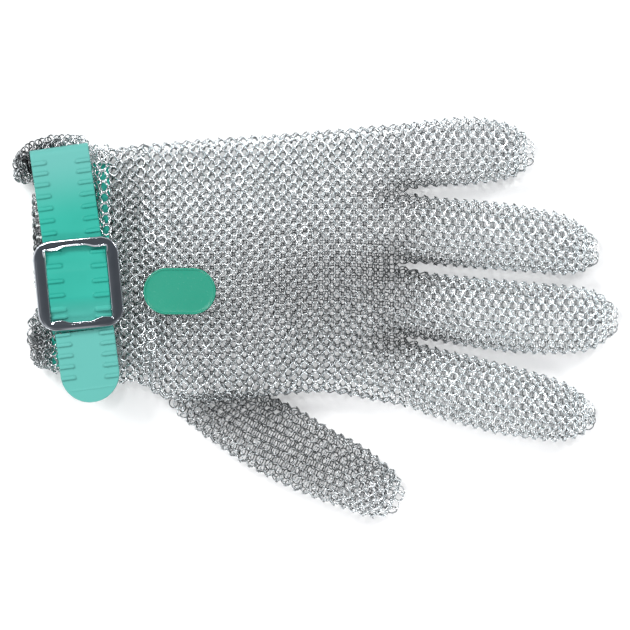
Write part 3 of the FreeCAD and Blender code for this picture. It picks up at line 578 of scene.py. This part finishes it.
def loose_rings():
    """The cuff's slack rings: bridges over the open column, the edge beside the strap, and the
    bunches at the cuff's two corners."""
    centre, axis, radius = [], [], []

    def add(p, a, r=RING_RADIUS):
        centre.append(p)
        axis.append(a)
        radius.append(r)

    # Flat rings down the open column, each with a leaning ring on both sides.
    for y in np.arange(OPEN_ROWS[0] + 1.2, OPEN_ROWS[1], 4.1):
        x = np.interp(y, OPEN_ROWS, (-79, -81.3))
        add((x, y, 18.5), (rng.normal(0, 0.1), rng.normal(0, 0.1), 1), 1.85)
        for side in (-1, 1):
            add((x + 1.9 * side, y + 2.05 + rng.normal(0, 0.12), 18.3),
                (0.85 * side, rng.normal(0, 0.2), 0.5))
    # Layers of rings along the strap's edge at the wrist.
    for y in np.arange(12, 46, 4.4):
        x = -105.5 + 0.03 * (43 - y) + rng.normal(0, 0.12)
        add((x, y, 17.8), (-0.4, rng.normal(0, 0.12), 0.9), 1.95)
        add((x + 0.3, y + 0.2, 15.2), (-0.5, 0.4, 0.75), 1.95)
        add((x + 0.6, y - 0.4, 12.8), (0.5, -0.3, 0.8), 1.95)
        add((x + 0.5, y + 2.2, 16.6), (-0.9, rng.normal(0, 0.25), 0.4))
        add((x + 0.3, y + 2.2, 13.6), (-0.6, -0.5, 0.6))
        add((x, y + 2.1, 10.5), (0.2, 0.6, 0.8))
    # A band of five rows round the cuff's corner.
    corner = np.array(CUFF_CORNER)
    run = np.concatenate([[0], np.cumsum(np.hypot(*np.diff(corner, axis=0).T))])
    for n, place in enumerate(np.arange(0, run[-1], 1.9)):
        x, y = (np.interp(place, run, c) for c in corner.T)
        for row, z in enumerate((15, 17.2, 18.2, 17, 15.5)):
            inward = 1.5 * row + rng.normal(0, 0.25)
            spot = (x + 0.45 * inward + 0.8 * (row % 2), y - 0.9 * inward, z)
            add(spot, (0.6 * (-1) ** (n + row), rng.normal(0, 0.2), 0.75), 1.9)
    # Crumpled bunches at both corners.
    for low, high, count, lean in (((-113.6, 51.5, 4), (-106, 61, 17), 60, (0.9, 0.2, 0.5)),
                                   ((-107.6, -19.5, 3), (-99, 1.5, 17), 96, (0.9, 0.6, 0.5))):
        spots = rng.uniform(low, high, (count, 3))
        leans = rng.normal(0, 0.45, (count, 3)) + np.array(lean)
        for p, a in zip(spots, leans):
            add(tuple(p), tuple(a), RING_RADIUS * rng.uniform(1, 1.08))
    centre, axis = np.array(centre, float), unit(np.array(axis, float))
    along = np.cross(axis, rng.normal(0, 1, axis.shape))
    return Rings(centre, axis, along, np.array(radius), np.zeros(len(centre)))


upper, lower = palm.pick(palm.tag < 1), palm.pick(palm.tag >= 1)
is_cuff = upper.centre[:, 0] < CUFF_SPLIT_X
ring_piece("cuff_rings_upper", upper.pick(is_cuff),
           ["cuff_upper_thumb_side_mesh", "cuff_upper_little_side_mesh"], "hand")
ring_piece("cuff_rings_loose", loose_rings(), [], "hand", thickness=LOOSE_WIRE)
ring_piece("cuff_rings_lower", lower.pick(lower.centre[:, 0] < CUFF_SPLIT_X),
           ["cuff_lower_mesh"], "hand", fine=False)
for number, (low, high) in enumerate(zip(UPPER_EDGES_X, UPPER_EDGES_X[1:]), start=1):
    within = (upper.centre[:, 0] >= low) & (upper.centre[:, 0] < high)
    panel = "palm_upper_rear_mesh" if number < 3 else "palm_upper_front_mesh"
    ring_piece(f"palm_rings_upper_{number}", upper.pick(within), [panel], "hand")
for number, (low, high) in enumerate(zip(LOWER_EDGES_X, LOWER_EDGES_X[1:]), start=1):
    within = (lower.centre[:, 0] >= low) & (lower.centre[:, 0] < high)
    ring_piece(f"palm_rings_lower_{number}", lower.pick(within), ["palm_lower_mesh"], "hand",
               fine=False)


for name, rings in woven.items():
    bend, tip_bend = BENDS[name]
    x = rings.centre[:, 0]
    spans = [(FINGERS_FROM_X, bend - 7, "knuckle base", "hand", f"{name}_base",
              FINGERS_FROM_X, FINGERS_FROM_X + 14),
             (bend - 7, tip_bend - 5, "bend middle", f"{name}_base", f"{name}_middle",
              bend - 6, bend + 6),
             (tip_bend - 5, 200, "tip_bend tip", f"{name}_middle", f"{name}_tip",
              tip_bend - 4, tip_bend + 4)]
    for number, (low, high, parts, body_a, body_b, start, end) in enumerate(spans, start=1):
        nodes = [f"{name}_{part}_mesh" for part in parts.split()]
        obj = ring_piece(f"{name}_rings_{number}", rings.pick((x >= low) & (x < high)), nodes,
                         thickness=FINGER_WIRE)
        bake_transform(obj)

thumb = weave(thumb_surface, "thumb", -58, 0)
thumb_along = ((thumb.centre[:, 0] - THUMB_ORIGIN[0]) * THUMB_COS
               + (thumb.centre[:, 1] - THUMB_ORIGIN[1]) * THUMB_SIN)
edge_y = np.interp(thumb.centre[:, 0], THUMB_EDGE_X, THUMB_EDGE_Y)
in_sight = (thumb.centre[:, 1] < THUMB_HIDDEN_Y) & (thumb.centre[:, 1] > edge_y)
near = in_sight & (thumb_along < THUMB_BEND - 7)
base = ring_piece("thumb_rings_1", thumb.pick(near), ["thumb_crease_mesh", "thumb_base_mesh"])
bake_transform(base)
tip = ring_piece("thumb_rings_2", thumb.pick(in_sight & ~near),
                 ["thumb_bend_mesh", "thumb_tip_mesh"])


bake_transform(tip)


# ------------------------------------------------------------------ strap

def strap_frame(angle, points):
    """From across, along and up the strap to the glove's frame."""
    u, v, z = points.T
    ca, sa = math.cos(angle), math.sin(angle)
    return np.column_stack([BUCKLE_AT[0] + ca * u - sa * v, BUCKLE_AT[1] + sa * u + ca * v, z])


def ribs(u, v, places):
    """Raised ribs along both edges of the strap."""
    inner = STRAP_WIDTH / 2 - 5.1
    height = np.zeros_like(v)
    for side, shift in ((1, 0), (-1, 1.1)):
        for place in places:
            past_end = np.maximum(inner - side * u, 0)
            beside = v - place - shift
            away = np.hypot(np.where(beside > 0, beside * 0.85, beside * 1.15), past_end)
            height = np.maximum(height, 0.75 * (1 - smoothstep(away, 0.4, 1.05)))
    return height


def ribbon(name, angle, path, half_width, relief, tone):
    """A strip along a path of (v, z) points, with soft edges and relief on its upper face."""
    path = np.asarray(path, float)
    tangent = unit(np.gradient(path, axis=0))
    normal = np.column_stack([-tangent[:, 1], tangent[:, 0]])
    run = np.concatenate([[0], np.cumsum(np.hypot(*np.diff(path, axis=0).T))])
    edge = 0.4
    even = np.linspace(-1, 1, 73)
    towards_edges = np.sin(np.linspace(-math.pi / 2, math.pi / 2, len(even)) * 0.999)
    share = 0.45 * towards_edges + 0.55 * even
    u = share[None] * half_width(path[:, 0])[:, None]
    past = np.clip(np.abs(u) - (half_width(path[:, 0])[:, None] - edge), 0, edge)
    half = STRAP_THICK / 2 - edge + np.sqrt(np.maximum(edge**2 - past**2, 0))
    top = half + relief(u, np.broadcast_to(path[:, :1], u.shape), run[:, None])
    loops = []
    for across, lift in ((u, top), (u[:, ::-1], -half[:, ::-1])):
        v = path[:, :1] + normal[:, :1] * lift
        z = path[:, 1:] + normal[:, 1:] * lift
        loops.append(np.stack([across, v, z], axis=-1))
    grid = np.concatenate(loops, axis=1)
    stations, around = grid.shape[:2]
    points = strap_frame(angle, grid.reshape(-1, 3))
    faces = np.concatenate([loop_faces(stations, around), end_caps(stations, around)])
    obj = new_object(name, points, faces)
    set_tone(obj, tone(grid[..., 1]))
    return obj


def full_width(v):
    return np.full_like(v, STRAP_WIDTH / 2)


RUN_START, FOLD_V, FOLD_RADIUS = 16.2, 49.6, 2.1
turns = np.linspace(0, math.pi, 40)
run_path = [(v, STRAP_MID_Z) for v in np.arange(RUN_START, FOLD_V, STRAP_STEP)]
run_path += [(FOLD_V + FOLD_RADIUS * math.sin(t), STRAP_MID_Z - FOLD_RADIUS
              + FOLD_RADIUS * math.cos(t)) for t in turns]
run_ribs = np.array([19.2, 24, 28.7, 33.3, 37.8, 42.1, 46])
# Painted sheen: the run's tone turns it paler towards the fold.
strap_run = ribbon("strap_run_and_fold", RUN_TURN, run_path, full_width,
                   lambda u, v, run: ribs(u, run + RUN_START, run_ribs),
                   lambda v: 1 - 0.8 * smoothstep(v, 24, 49))
finish_piece(strap_run, strap_green, "strap_polymer", "strap_outer_run", "strap_fold")
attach(strap_run, "hand")


def span_width(v):
    return np.full_like(v, STRAP_WIDTH / 2 + 0.35)


span_v = np.arange(-17.6, 15.8, STRAP_STEP)
span_z = STRAP_MID_Z + 2.5 * (1 - smoothstep(np.abs(span_v), 4.5, 13.6))
# Painted sheen: the span's tone turns it paler towards the tail end.
strap_span = ribbon("strap_in_buckle", BUCKLE_TURN, np.column_stack([span_v, span_z]), span_width,
                    lambda u, v, run: ribs(u, v, np.array([-13, -10, -4.9, 0.5, 5.9, 11.2])),
                    lambda v: 1 - 0.35 * smoothstep(-v, 4, 13))
finish_piece(strap_span, strap_green, "strap_polymer", "strap_threaded_span")
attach(strap_span, "buckle")

TAIL_START, TAIL_END = -17.9, -45.2
tail_v = np.concatenate([np.arange(TAIL_START, TAIL_END + 2, -STRAP_STEP),
                         np.linspace(TAIL_END + 2, TAIL_END + 0.05, 24)])
tail_middle = TAIL_END + STRAP_WIDTH / 2


def tail_width(v):
    past = np.clip(tail_middle - v, 0, STRAP_WIDTH / 2 - 0.02)
    return np.sqrt((STRAP_WIDTH / 2) ** 2 - past**2)


def tail_relief(u, v, run):
    line = 0.16 * np.exp(-((v - (TAIL_END + 5.2)) / 0.28) ** 2)
    inside = 1 - smoothstep(np.abs(u), tail_width(v) - 1.2, tail_width(v) - 0.6)
    return ribs(u, v, np.array([-36.2, -31.9, -27.7, -23.5, -19.6])) + line * inside


# Painted sheen: the tail's tone makes it mostly the paler green.
strap_tail = ribbon("strap_free_end", TAIL_TURN,
                    np.column_stack([tail_v[::-1], np.full(len(tail_v), STRAP_MID_Z)]),
                    tail_width, tail_relief, lambda v: 0.28 + 0 * v)
finish_piece(strap_tail, strap_green, "strap_polymer", "strap_tail")
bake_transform(strap_tail)

# The inner run follows the inside of the cuff, open where the strap folds in.
BAND_ACROSS, BAND_AROUND = 41, 220
band_x = np.linspace(-99.8, -78.2, BAND_ACROSS)
band_s = np.linspace(0.10, 1.93, BAND_AROUND)
band_sections = [(x, c, w - 4.1, h - 4.1, z - 0.1) for x, c, w, h, z in HAND]
band_tube = Tube(band_sections, (2.9, 4.5))
grid_x, grid_s = np.meshgrid(band_x, band_s, indexing="ij")
band, band_middle = band_tube.at(grid_x.ravel(), grid_s.ravel())
band = band.reshape(BAND_ACROSS, BAND_AROUND, 3)
band_middle = band_middle.reshape(BAND_ACROSS, BAND_AROUND, 3)
band_out = np.gradient(band, axis=1)
band_out = unit(np.stack([0 * band_out[..., 0], band_out[..., 2], -band_out[..., 1]], axis=-1))
facing = np.sign(np.sum(band_out * (band - band_middle), axis=-1, keepdims=True))
band_out = band_out * np.where(facing == 0, 1, facing)
edge_share = np.abs(np.linspace(-1, 1, BAND_ACROSS))
soft = 0.55 * np.sqrt(np.clip(1 - edge_share**14, 0.02, 1))
shell = np.concatenate([band + band_out * soft[:, None, None],
                        (band - band_out * soft[:, None, None])[::-1]], axis=0)
shell = shell.transpose(1, 0, 2)
band_grid = shell.shape[:2]
band_faces = np.concatenate([loop_faces(*band_grid), end_caps(*band_grid)])
wrist_band = new_object("wrist_band_strip", shell.reshape(-1, 3), band_faces)
finish_piece(wrist_band, brightened_inner_green, "strap_polymer", "wrist_band")
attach(wrist_band, "hand")


# ------------------------------------------------------------------ buckle

BUCKLE_HALF = np.array([16.3, 17.2])
WINDOW_HALF = np.array([11.6, 13.1])
BUCKLE_LOW = 22.7


def reach_to(half, corner, direction):
    """Distance out to a round-cornered rectangle along each direction."""
    near, far = np.zeros(len(direction)), np.full(len(direction), 2 * max(half))
    for _ in range(40):
        middle = (near + far) / 2
        past = np.maximum(np.abs(direction * middle[:, None]) - (half - corner), 0)
        inside = np.hypot(*past.T) < corner
        near, far = np.where(inside, middle, near), np.where(inside, far, middle)
    return near


EARS_AT = 13.9           # small posts under both sides, that hold the centre bar
# The plate's window edge is wavy at both ends and cut into at its corners. Its section runs from
# the outer edge (share 0) to the window (share 1), with a raised lip there and a slight crown.
turn = np.linspace(0, 2 * math.pi, 480, endpoint=False)
direction = np.column_stack([np.cos(turn), np.sin(turn)])
reach_out = reach_to(BUCKLE_HALF, 7.0, direction)
reach_in = reach_to(WINDOW_HALF, 1.4, direction)
across = reach_in * np.cos(turn)
at_end = np.abs(np.sin(turn)) * reach_in > WINDOW_HALF[1] - 0.3
wave = 1.2 * (1 - smoothstep(np.abs(across), 3.2, 7.8))
reach_in = reach_in + np.where(at_end, wave, 0)
for corner in (1, -1):
    for end in (1, -1):
        place = math.atan2(end * (WINDOW_HALF[1] - 0.9), corner * (WINDOW_HALF[0] - 0.9))
        apart = np.angle(np.exp(1j * (turn - place)))
        reach_in = reach_in + 0.8 * np.exp(-(apart / 0.06) ** 2)
share = np.concatenate([np.linspace(0, 0.14, 11), np.linspace(0.18, 0.62, 12),
                        np.linspace(0.64, 1, 26)])
profile = [(0, 0.4), (0.008, 1.2), (0.025, 1.75), (0.05, 2.05), (0.08, 2.14), (0.14, 2.17),
           (0.2, 2.17), (0.95, 2.17), (0.97, 2.1), (0.985, 1.7), (1, 0.9)]
lip = [(0.76, 0), (0.81, 0.02), (0.92, 0.15), (0.96, 0.16), (1, 0)]
lift = np.interp(share, *zip(*profile))
raised = np.interp(share, *zip(*lip))
crown = 0.1 * np.clip(1 - ((share - 0.56) / 0.4) ** 2, 0, 1)
over = reach_in * np.sin(turn) / WINDOW_HALF[1]
at_lip = smoothstep(over, 0.75, 0.95) + 0.4 * smoothstep(-over, 0.75, 0.95)
at_crown = 1 - 0.8 * smoothstep(over, 0.55, 0.95)
rows = [(q, BUCKLE_LOW + z, *more) for q, z, *more in zip(share, lift, raised, crown)]
rows += [(q, BUCKLE_LOW, 0, 0) for q in (0.985, 0.7, 0.4, 0.1, 0.015)]
loops = []
for q, z, lip_height, crown_height in rows:
    flat = direction * (reach_out * (1 - q) + reach_in * q)[:, None]
    loops.append(np.column_stack([flat, z + lip_height * at_lip + crown_height * at_crown]))
grid = np.stack(loops, axis=1)
buckle_points = [strap_frame(BUCKLE_TURN, grid.reshape(-1, 3))]
buckle_faces = [loop_faces(len(turn), len(rows), closed_along=True)[:, ::-1]]
first = len(buckle_points[0])
for side in (-1, 1):
    angles = np.linspace(0, 2 * math.pi, 24, endpoint=False)
    shape = np.column_stack([np.sign(np.cos(angles)) * np.abs(np.cos(angles)) ** 0.4 * 1.2,
                             np.sign(np.sin(angles)) * np.abs(np.sin(angles)) ** 0.4 * 2.0])
    heights = [(20.2, 0.0), (20.2, 0.75), (20.35, 0.95), (20.8, 1.0), (23.0, 1.0), (23.0, 0.0)]
    ear = np.stack([np.column_stack([shape * grow + [side * EARS_AT, 0],
                                     np.full(len(angles), z)]) for z, grow in heights])
    buckle_points.append(strap_frame(BUCKLE_TURN, ear.reshape(-1, 3)))
    buckle_faces.append(loop_faces(len(heights), len(angles)) + first)
    first += len(heights) * len(angles)
buckle = new_object("buckle_plate", np.concatenate(buckle_points), np.concatenate(buckle_faces))
finish_piece(buckle, buckle_steel, "buckle_steel", "buckle_frame")
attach(buckle, "buckle")


# ------------------------------------------------------------------ size tag

TAG_AT, TAG_HALF = (-51.3, 9.0), (13.75, 8.85)
tag_profile = [(0.25, 18.9), (0.02, 19.1), (0.0, 19.5), (0.0, 20.2), (0.08, 20.48),
               (0.28, 20.66), (0.5, 20.7), (0.72, 20.62), (0.88, 20.45), (1.05, 20.36),
               (1.4, 20.35), (3.0, 20.35), (5.0, 20.35), (7.0, 20.35), (8.84, 20.35)]
TAG_AROUND = 160
tag_turn = np.roll(np.linspace(0, 2 * math.pi, TAG_AROUND, endpoint=False), TAG_AROUND // 4)
tag_ends = np.sign(np.cos(tag_turn)) * (TAG_HALF[0] - TAG_HALF[1])
tag_loops = []
for inset, z in tag_profile:
    radius = TAG_HALF[1] - inset
    tag_loops.append(np.column_stack([TAG_AT[0] + tag_ends + radius * np.cos(tag_turn),
                                      TAG_AT[1] + radius * np.sin(tag_turn),
                                      np.full(TAG_AROUND, z)]))
tag_size = len(tag_profile), TAG_AROUND
tag_faces = np.concatenate([loop_faces(*tag_size), end_caps(*tag_size)[:, ::-1]])
tag = new_object("tag_cover", np.concatenate(tag_loops), tag_faces)
finish_piece(tag, tag_green, "tag_plastic", "tag_front_plate")
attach(tag, "hand")

# The CAD nodes that stay in sight keep their shape and get these materials.
for node, mat in (("buckle_centre_bar", buckle_steel), ("strap_anchor_loop", brightened_inner_green),
                  ("tag_back_plate", tag_green), ("tag_rivets", tag_green)):
    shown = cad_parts[node]
    for slot in shown.material_slots:
        slot.link = "OBJECT"
        slot.material = mat


# ------------------------------------------------------------------ camera, light and floor

# The camera looks straight down from far off, so that height hardly shifts what is seen.
camera = bpy.data.cameras.new("camera")
camera.lens, camera.sensor_width = 600, 36
camera_object = bpy.data.objects.new("camera", camera)
camera_object.location = (0, 0, 4)
bpy.context.scene.collection.objects.link(camera_object)
bpy.context.scene.camera = camera_object

floor_material, floor_nodes, floor_links, floor_shader = material("floor")
floor_fac = noise(floor_nodes, floor_links, 3, 2)
floor_links.new(ramp(floor_nodes, floor_links, floor_fac,
                     [(0.3, (0.93, 0.93, 0.93)), (0.7, (0.95, 0.95, 0.95))]),
                floor_shader.inputs["Base Color"])
floor_shader.inputs["Roughness"].default_value = 0.9
floor_shader.inputs["Emission Color"].default_value = (1, 1, 1, 1)
floor_shader.inputs["Emission Strength"].default_value = 0.05
FLOOR_HALF = 4000
floor_points = np.array([[x * FLOOR_HALF, y * FLOOR_HALF, 0]
                         for x, y in ((-1, -1), (1, -1), (1, 1), (-1, 1))])
floor = new_object("floor", floor_points, np.array([[0, 1, 2, 3]]))
floor.data.materials.append(floor_material)


def soft_light(name, location, size, power):
    """A round light aimed at the origin."""
    light = bpy.data.lights.new(name, "AREA")
    light.shape, light.size, light.energy = "DISK", size, power
    obj = bpy.data.objects.new(name, light)
    obj.location = location
    obj.rotation_mode = "QUATERNION"
    obj.rotation_quaternion = (-Vector(location)).to_track_quat("-Z", "Y")
    bpy.context.scene.collection.objects.link(obj)


soft_light("key", (-0.7, 0.62, 0.85), 0.4, 8)
soft_light("right", (0.75, 0.6, 0.8), 0.4, 5.5)
soft_light("front", (-0.55, -0.8, 0.8), 0.4, 3.5)
soft_light("far", (0.6, -0.75, 0.8), 0.4, 3.2)
soft_light("top", (-0.19, 0.22, 1.2), 0.13, 1.6)

# A bright studio over a dark horizon, with a dark patch straight above that the polished buckle
# mirrors. It is brighter from one side than from the other.
world = bpy.data.worlds.new("studio")
bpy.context.scene.world = world
world.use_nodes = True
nodes, links = world.node_tree.nodes, world.node_tree.links
where = nodes.new("ShaderNodeTexCoord")
split = nodes.new("ShaderNodeSeparateXYZ")
links.new(where.outputs["Generated"], split.inputs["Vector"])
sky = ramp(nodes, links, split.outputs["Z"],
           [(0.0, (0.02, 0.02, 0.025)), (0.32, (0.04, 0.04, 0.045)), (0.5, (0.88, 0.9, 0.92)),
            (0.955, (0.92, 0.92, 0.94)), (0.985, (0.16, 0.17, 0.185)), (1.0, (0.13, 0.14, 0.155))])
sideways = nodes.new("ShaderNodeVectorMath")
sideways.operation = "DOT_PRODUCT"
sideways.inputs[1].default_value = (-0.8, 0.6, 0)
links.new(where.outputs["Generated"], sideways.inputs[0])
side = nodes.new("ShaderNodeMapRange")
side.inputs["From Min"].default_value, side.inputs["From Max"].default_value = -0.7, 0.7
side.inputs["To Min"].default_value, side.inputs["To Max"].default_value = 0.35, 1.25
links.new(sideways.outputs["Value"], side.inputs["Value"])
dimmed = nodes.new("ShaderNodeVectorMath")
dimmed.operation = "SCALE"
links.new(sky, dimmed.inputs[0])
links.new(side.outputs["Result"], dimmed.inputs["Scale"])
links.new(dimmed.outputs["Vector"], nodes["Background"].inputs["Color"])
nodes["Background"].inputs["Strength"].default_value = 1.05
bpy.context.scene.view_settings.view_transform = "Standard"
